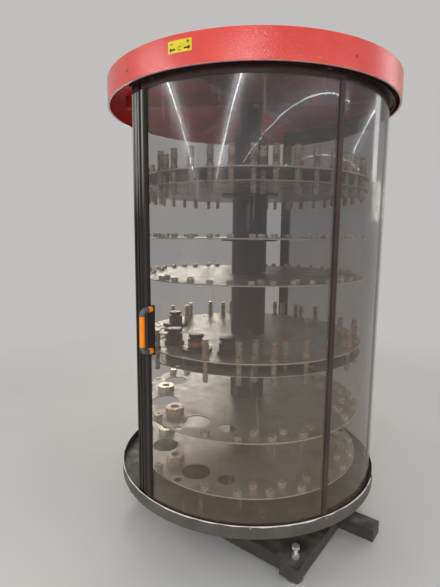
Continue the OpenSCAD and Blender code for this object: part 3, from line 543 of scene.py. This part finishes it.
# The first seven faces are the six of the outer leg and its end: two of bare metal, two dark and
# three of rubber. The other faces and the stile's two ends are bare metal.
STILE_FINISH = [0, 0, 1, 1, 2, 2, 2] + [0] * 23
place_piece("leading_stile", upright(edge_channel(LEAD_AZ, 2.8, 0.3), EDGE_LOW, EDGE_TOP),
            "post_aluminium", "door", ["door_stile"], STILE_FINISH, ["strip_dark", "seal_rubber"])
place_piece("post_seal_strip", upright([
    (-99.64, 722), (-99.64, 736.4), (-99.5, 738.2), (-99.2, 739), (-98.7, 739.2), (-98.25, 738.8),
    (-97.95, 737.6), (-97.83, 735.8), (-97.83, 722)], EDGE_LOW, EDGE_TOP),
    "seal_rubber", "frame", ["post_seal"])
place_piece("trailing_strip", upright(edge_channel(TRAIL_AZ, -1.9, -0.3), EDGE_LOW, EDGE_TOP),
            "strip_brown", "door", ["door_strip"])

# ---------------------------------------------------------------- handle
HANDLE_AZ, HANDLE_Z, HANDLE_R, PITCH, BEND, GRIP = -93.5, 1240, 797, 198, 26, 142
# PITCH is from one cap of the handle to the other, and GRIP the length of its orange part. The
# liner behind it is wide, and narrow above and below.
NARROW_AZ, WIDE_AZ, WIDE_LOW, WIDE_TOP = -94.3, -92, HANDLE_Z - 118, HANDLE_Z + 118
place_piece("stile_liner", joined(*[
    upright(np.concatenate([arc(az, -95, 740), arc(-95, az, DOOR_OUT)]), z0, z1)
    for az, z0, z1 in ((NARROW_AZ, EDGE_LOW, WIDE_LOW), (WIDE_AZ, WIDE_LOW, WIDE_TOP),
                       (NARROW_AZ, WIDE_TOP, EDGE_TOP))]), "seal_rubber", "door", ["door_liner"])
place_piece("orange_grip", turned(eased([
    (0, -GRIP / 2), (12.1, -GRIP / 2), (12.4, -GRIP / 2 + 3), (12.4, GRIP / 2 - 3),
    (12.1, GRIP / 2), (0, GRIP / 2)], 1.0), [(HANDLE_AZ, HANDLE_R, HANDLE_Z)], LARGE_SIDES),
    "handle_orange", "door", ["handle_grip"])


def elbow(way):
    """Middle line of an elbow: straight out from its cap, a quarter bend, then along the grip."""
    z = HANDLE_Z + way * PITCH / 2
    t = np.linspace(0, np.pi / 2, 14)
    r = np.concatenate([[760.5, 766], HANDLE_R - BEND + BEND * np.sin(t), [HANDLE_R]])
    drop = np.concatenate([[0, 0], BEND * (1 - np.cos(t)), [PITCH / 2 - GRIP / 2]])
    return polar(HANDLE_AZ, r, z - way * drop)


ELBOW_R = 12.3
place_piece("grey_elbows", joined(*[
    tube(elbow(way), ELBOW_R, polar(HANDLE_AZ + 90, 1, 0)) for way in (1, -1)]),
    "handle_grey", "door", ["handle_elbows"])
CAP = eased([(0, 0), (13.5, 0), (13.5, 18), (11.5, 20), (0, 20)], 1.2, 4)
place_piece("orange_caps", joined(*[outward(CAP, HANDLE_AZ, 740, HANDLE_Z + way * PITCH / 2, 40)
                                    for way in (1, -1)]), "handle_orange", "door", ["handle_caps"])

# ---------------------------------------------------------------- tools in their stations
# Heights of the plates' tops, and the radii of their rows of stations.
PUNCH_A, PUNCH_B, DIE_A, DIE_B, DIE_C, DIE_D = 1976, 1105, 1668, 1461, 725, 449
OUTER_ROW, SECOND_ROW, LARGE_ROW = 616, 556, 500
# The sharp angle of forms with few sides.
COARSE = 32


def stations(azimuths, radius, few, gap):
    """The row's places as (az, r), all but those whose number leaves gap when divided by few."""
    number = np.arange(len(azimuths))
    keep = number % few != gap
    return np.stack([azimuths[keep], np.full(keep.sum(), float(radius))], -1)


def at_level(places, z):
    """The places of (az, r) at height z, as (az, r, z)."""
    return np.column_stack([places, np.full(len(places), float(z))])


# Angles of the stations: FINE_STEP apart on the plates for small tools and COARSE_STEP on the
# others. Those of a second row stand between the outer row's.
FINE_STEP, FINE_START, COARSE_STEP = 9, -1.2, 15
fine_az = np.arange(40) * FINE_STEP + FINE_START
inner_az = (np.arange(20) * 2 + 0.5) * FINE_STEP + FINE_START
coarse_az = np.arange(24) * COARSE_STEP
between_az = (np.arange(24) + 0.5) * COARSE_STEP
LARGE_FROM, LARGE_TO = 177.5, 306.5


def coarse_inner(few, gap):
    """The lower plates' second row, which leaves out the arc that the large stations take."""
    places = stations(between_az, SECOND_ROW, few, gap)
    return places[(places[:, 0] < LARGE_FROM) | (places[:, 0] > LARGE_TO)]


fine_tools = np.concatenate([stations(fine_az, OUTER_ROW, 12, 4),
                             stations(inner_az, SECOND_ROW, 3, 1)])
coarse_punches = np.concatenate([stations(coarse_az, OUTER_ROW, 5, 3), coarse_inner(3, 1)])
coarse_dies = np.concatenate([stations(coarse_az, OUTER_ROW, 5, 3), coarse_inner(5, 3)])

# A punch's spring in profile: at turn t its radius is COIL_R + WIRE_R cos t.
COIL_Z, COIL_H, COIL_R, WIRE_R, TURNS = 16, 34, 14.6, 1.6, 5
turns = np.linspace(0, TURNS, TURNS * 6 + 1)
coil = np.stack([COIL_R + WIRE_R * np.cos(2 * np.pi * turns), COIL_Z + COIL_H * turns / TURNS], -1)
PUNCH = np.concatenate([
    [(0, -113), (8.7, -113), (12.7, -106), (12.7, -0.3), (18.6, 0), (19.2, 0.7), (19.2, 8.4),
     (18.4, 9), (16.2, 11)], coil,
    [(16.2, 79), (10.7, 80), (10.7, 87), (16.2, 88), (16.2, 92.4), (14.2, 95), (0, 95)]])
# The guide body under the collar and the spring have the second finish, the rest the first.
PUNCH_FINISH = np.zeros(len(PUNCH))
PUNCH_FINISH[:3] = 1
PUNCH_FINISH[9:9 + len(coil)] = 1


def punches(name, places, z, node):
    """Fills the places with punches that hang by their collars at height z."""
    shape = turned(PUNCH, at_level(places, z), SMALL_SIDES)
    picks = np.tile(PUNCH_FINISH, SMALL_SIDES * len(places))
    place_piece(name, shape, "punch_bronze", "carousel", [node], picks, ["punch_body"], COARSE)


punches("upper_punches", fine_tools, PUNCH_A, "punches_a")
punches("lower_punches", coarse_punches, PUNCH_B, "punches_b")


def die_profile(r, head, bore):
    """A die: neck in the plate, head on it with eased edges, and a bore that opens downwards."""
    neck = r - 3
    return eased([
        (bore, -8), (neck - 1, -8), (neck, -7), (neck, 0), (r, 0), (r, head - 1.5),
        (r - 1.5, head), (bore - 3, head), (bore - 3, head - 8), (bore, head - 12)], 0.3, 2)


place_piece("dies_for_small_tools", turned(die_profile(16, 19, 8), np.concatenate(
    [at_level(fine_tools, z) for z in (DIE_A, DIE_B)]), SMALL_SIDES),
    "die_steel", "carousel", ["small_dies"], sharp=COARSE)
place_piece("dies_for_medium_tools", turned(die_profile(22, 25, 11), np.concatenate(
    [at_level(coarse_dies, z) for z in (DIE_C, DIE_D)]), MEDIUM_SIDES),
    "die_steel", "carousel", ["medium_dies"])
place_piece("dies_for_large_tools", turned(die_profile(50.2, 30, 26.1), [
    (az, LARGE_ROW, z) for az in (-147.5, -107.5) for z in (DIE_C, DIE_D)], LARGE_SIDES),
    "die_steel", "carousel", ["large_dies"])


def holder(r, head):
    """A large punch holder, hung by its rim: barrel, groove and striking cap above it."""
    body = r - 0.3
    return eased([(0, -93), (body - 6, -93), (body, -87), (body, 0), (r + 5, 0), (r + 5, 14),
                  (head, 17), (head, 56), (head - 3, 59), (head - 10, 59), (head - 10, 68),
                  (head - 3, 69), (head - 3, 82), (head - 6, 85), (0, 85)], 0.8)


BANDED_AZ = -87.5
place_piece("large_holders", joined(
    turned(holder(47.5, 43.5), [(az, LARGE_ROW, PUNCH_B) for az in (-107.5, -67.5)], LARGE_SIDES),
    turned(holder(75, 41.25), [(az, LARGE_ROW, PUNCH_B) for az in (-167.5, BANDED_AZ)],
           LARGE_SIDES)), "holder_dark", "carousel", ["large_punches"])
BAND = eased([(41.1, 0), (42.2, 0), (42.2, 8), (41.1, 8)], 0.3)
SLEEVE = eased([(41.1, 0), (41.9, 0), (41.9, 16), (41.1, 16)], 0.2)
place_piece("holder_bands", turned(
    BAND, [(BANDED_AZ, LARGE_ROW, PUNCH_B + z) for z in (20, 46)], LARGE_SIDES),
    "ring_red", "carousel")
place_piece("holder_sleeve", turned(SLEEVE, [(BANDED_AZ, LARGE_ROW, PUNCH_B + 29)], LARGE_SIDES),
            "punch_bronze", "carousel")

# ---------------------------------------------------------------- levelling feet
BOLTS = [(x, y) for x in (-360, 360) for y in (-540, 540)]
feet = [(math.degrees(math.atan2(x, -y)), math.hypot(x, y), 0) for x, y in BOLTS]
place_piece("round_foot_pads", turned(eased([
    (0, 0), (45, 0), (45, 10), (43, 12), (25, 12), (22, 28), (12.1, 28), (12.1, 16), (0, 16)], 0.8),
    feet, LARGE_SIDES), "galvanised", "frame", ["foot_pads"])


def threaded(r, z0, z1, pitch=3.0, deep=1.5, sides=32):
    """A threaded rod: at angle a and height z its radius is r less deep times the triangle wave
    of z / pitch - a / 360."""
    z = np.linspace(z0, z1, int((z1 - z0) / pitch * 6) + 1)
    turn = np.arange(sides) / sides
    wave = np.abs((z[:, None] / pitch - turn) % 1 * 2 - 1)
    radius = r - deep * wave
    return polar(turn * 360, radius, z[:, None]).reshape(-1, 3), closed(len(z), sides)


def hexagon(r, z0, z1, edge):
    """A hexagonal head: six corners at r, its ends drawn in by edge over a slope 0.6 as high."""
    az, slope = np.arange(6) * 60.0, edge * 0.6
    rows = [polar(az, k, z) for k, z in (
        (r - edge, z0), (r, z0 + slope), (r, z1 - slope), (r - edge, z1))]
    return np.concatenate(rows), closed(4, 6)


def at_feet(shape):
    """The shape, which stands on the mast's axis, moved to each of the four bolts."""
    points, faces = shape
    return joined(*[(points + (x, y, 0), faces) for x, y in BOLTS])


BOLT_R, HEX_R, BOLT_TOP = 12, 20.7, 170
place_piece("threaded_bolts", joined(
    at_feet(threaded(BOLT_R, 16, BOLT_TOP)), at_feet(hexagon(HEX_R, BOLT_TOP, 185, 2.2))),
    "galvanised", "frame", ["levelling_bolts"], sharp=COARSE)
place_piece("hexagon_locknuts", at_feet(hexagon(HEX_R, 120, 139, 2.0)),
            "galvanised", "frame", ["locknuts"])

# ---------------------------------------------------------------- floor, camera and lights
FLOOR_HALF = 40
floor_mesh = bpy.data.meshes.new("studio_floor")
floor_mesh.from_pydata([(x * FLOOR_HALF, y * FLOOR_HALF, 0) for x, y in (
    (-1, -1), (1, -1), (1, 1), (-1, 1))], [], [(0, 1, 2, 3)])
floor = bpy.data.objects.new("studio_floor", floor_mesh)
bpy.context.scene.collection.objects.link(floor)
# The colour that the background shows, and the one that it lights the tower with.
BACKDROP, SKY = (0.53, 0.523, 0.51), (0.45, 0.445, 0.435)


def seen(tree):
    """1 for rays that show a background, straight, mirrored or through glass, and 0 for light."""
    path = tree.nodes.new("ShaderNodeLightPath")
    either = path.outputs["Is Camera Ray"]
    for ray in ("Is Glossy Ray", "Is Transmission Ray"):
        larger = tree.nodes.new("ShaderNodeMath")
        larger.operation = "MAXIMUM"
        tree.links.new(either, larger.inputs[0])
        tree.links.new(path.outputs[ray], larger.inputs[1])
        either = larger.outputs[0]
    return either


def pale_floor():
    """Pale floor that keeps the tower's shadow, and turns into the backdrop's colour from 1.6
    to 5 metres away."""
    f = Finish("floor_pale")
    tone = f.mix(f.band(f.noise(0.7, 4), *NOISE), (0.53, 0.52, 0.505), (0.57, 0.56, 0.545))
    f.set("Base Color", tone)
    f.set("Roughness", f.band(f.noise(3, 3), *NOISE, 0.55, 0.7))
    plain = f.tree.nodes.new("ShaderNodeEmission")
    plain.inputs["Color"].default_value = (*BACKDROP, 1)
    blend = f.tree.nodes.new("ShaderNodeMixShader")
    f.tree.links.new(f.maths("MULTIPLY", f.band(f.reach(), 1.6, 5), seen(f.tree)), blend.inputs[0])
    f.tree.links.new(f.shader.outputs[0], blend.inputs[1])
    f.tree.links.new(plain.outputs[0], blend.inputs[2])
    f.tree.links.new(blend.outputs[0], f.tree.nodes["Material Output"].inputs["Surface"])
    return f.material


floor_mesh.materials.append(pale_floor())

# The heading is from +Y towards +X.
EYE = Vector((-2.084, -1.379, 1.68))
HEADING, PITCH_DOWN, ROLL = map(math.radians, (52.65, 7.83, 0.46))
ahead = Vector((math.sin(HEADING) * math.cos(PITCH_DOWN), math.cos(HEADING) * math.cos(PITCH_DOWN),
                -math.sin(PITCH_DOWN)))
right = Vector((math.cos(HEADING), -math.sin(HEADING), 0))
up = right.cross(ahead)
right, up = (right * math.cos(ROLL) + up * math.sin(ROLL),
             up * math.cos(ROLL) - right * math.sin(ROLL))
lens = bpy.data.cameras.new("camera")
lens.lens, lens.sensor_width, lens.clip_end = 26.0, 36.0, 200.0
camera = bpy.data.objects.new("camera", lens)
camera.matrix_world = Matrix.Translation(EYE) @ Matrix([right, up, -ahead]).transposed().to_4x4()
bpy.context.scene.collection.objects.link(camera)
bpy.context.scene.camera = camera

WHITE, COOL = (1, 1, 1), (0.88, 0.95, 1)


def softbox(name, place, aim, width, height, watts, tint=WHITE, mirrored=True):
    """A rectangular lamp that looks from its place at its aim. mirrored says whether gloss shows
    it."""
    lamp = bpy.data.lights.new(name, "AREA")
    lamp.shape, lamp.size, lamp.size_y = "RECTANGLE", width, height
    lamp.energy, lamp.color = watts, tint
    box = bpy.data.objects.new(name, lamp)
    box.location = place
    box.rotation_euler = (Vector(aim) - Vector(place)).to_track_quat("-Z", "Y").to_euler()
    box.visible_camera = False
    box.visible_glossy = mirrored
    bpy.context.scene.collection.objects.link(box)


softbox("soft_front", (-4.6, -4.4, 3.4), (0, 0, 1.3), 2.6, 2.6, 70, (1, 0.99, 0.97), False)
softbox("overhead", (0.4, 0.2, 4.8), (0, 0, 1.5), 2.6, 2.6, 30)
softbox("soft_rear", (3.6, 3.9, 2.3), (0, 0, 1.0), 1.8, 0.7, 50, (1, 0.94, 0.82))
softbox("soft_side", (3.5, -2.6, 3.5), (0, -0.7, 2.4), 0.6, 2.2, 16)
# Rows of long narrow lamps over the floor, from (x0, y0) to (x1, y1). Each has a dim one above it,
# as wide as a reflector, so gloss mirrors it as a sharp line in a soft glow.
STRIP_Z, STRIP_W, GLOW_Z, GLOW_W = 3.6, 0.07, 3.65, 0.5
for name, x0, y0, x1, y1, watts, glow in (
        ("strip_left", -13.5, 2.1, -2.5, 2.1, 145, 80),
        ("strip_middle", -14.0, -1.95, -2.5, -1.95, 145, 80),
        ("strip_right", -10.0, -5.0, 1.7, -5.0, 95, 15),
        ("strip_far", -8.4, -9.55, 7.1, -9.55, 125, 15),
        ("strip_side", 4.2, -8.2, 4.2, -3.5, 40, 5)):
    x, y = (x0 + x1) / 2, (y0 + y1) / 2
    for label, z, wide, power, tint in ((name, STRIP_Z, STRIP_W, watts, WHITE),
                                        (name + "_glow", GLOW_Z, GLOW_W, glow, COOL)):
        softbox(label, (x, y, z), (x, y, 0), max(x1 - x0, wide), max(y1 - y0, wide), power, tint)

world = bpy.data.worlds.new("studio")
bpy.context.scene.world = world
world.use_nodes = True
background = world.node_tree.nodes["Background"]
colour = world.node_tree.nodes.new("ShaderNodeMix")
colour.data_type = "RGBA"
colour.inputs[FIRST].default_value = (*SKY, 1)
colour.inputs[SECOND].default_value = (*BACKDROP, 1)
world.node_tree.links.new(seen(world.node_tree), colour.inputs[0])
world.node_tree.links.new(colour.outputs[MIXED], background.inputs["Color"])
background.inputs["Strength"].default_value = 1.0
bpy.context.scene.view_settings.view_transform = "Standard"
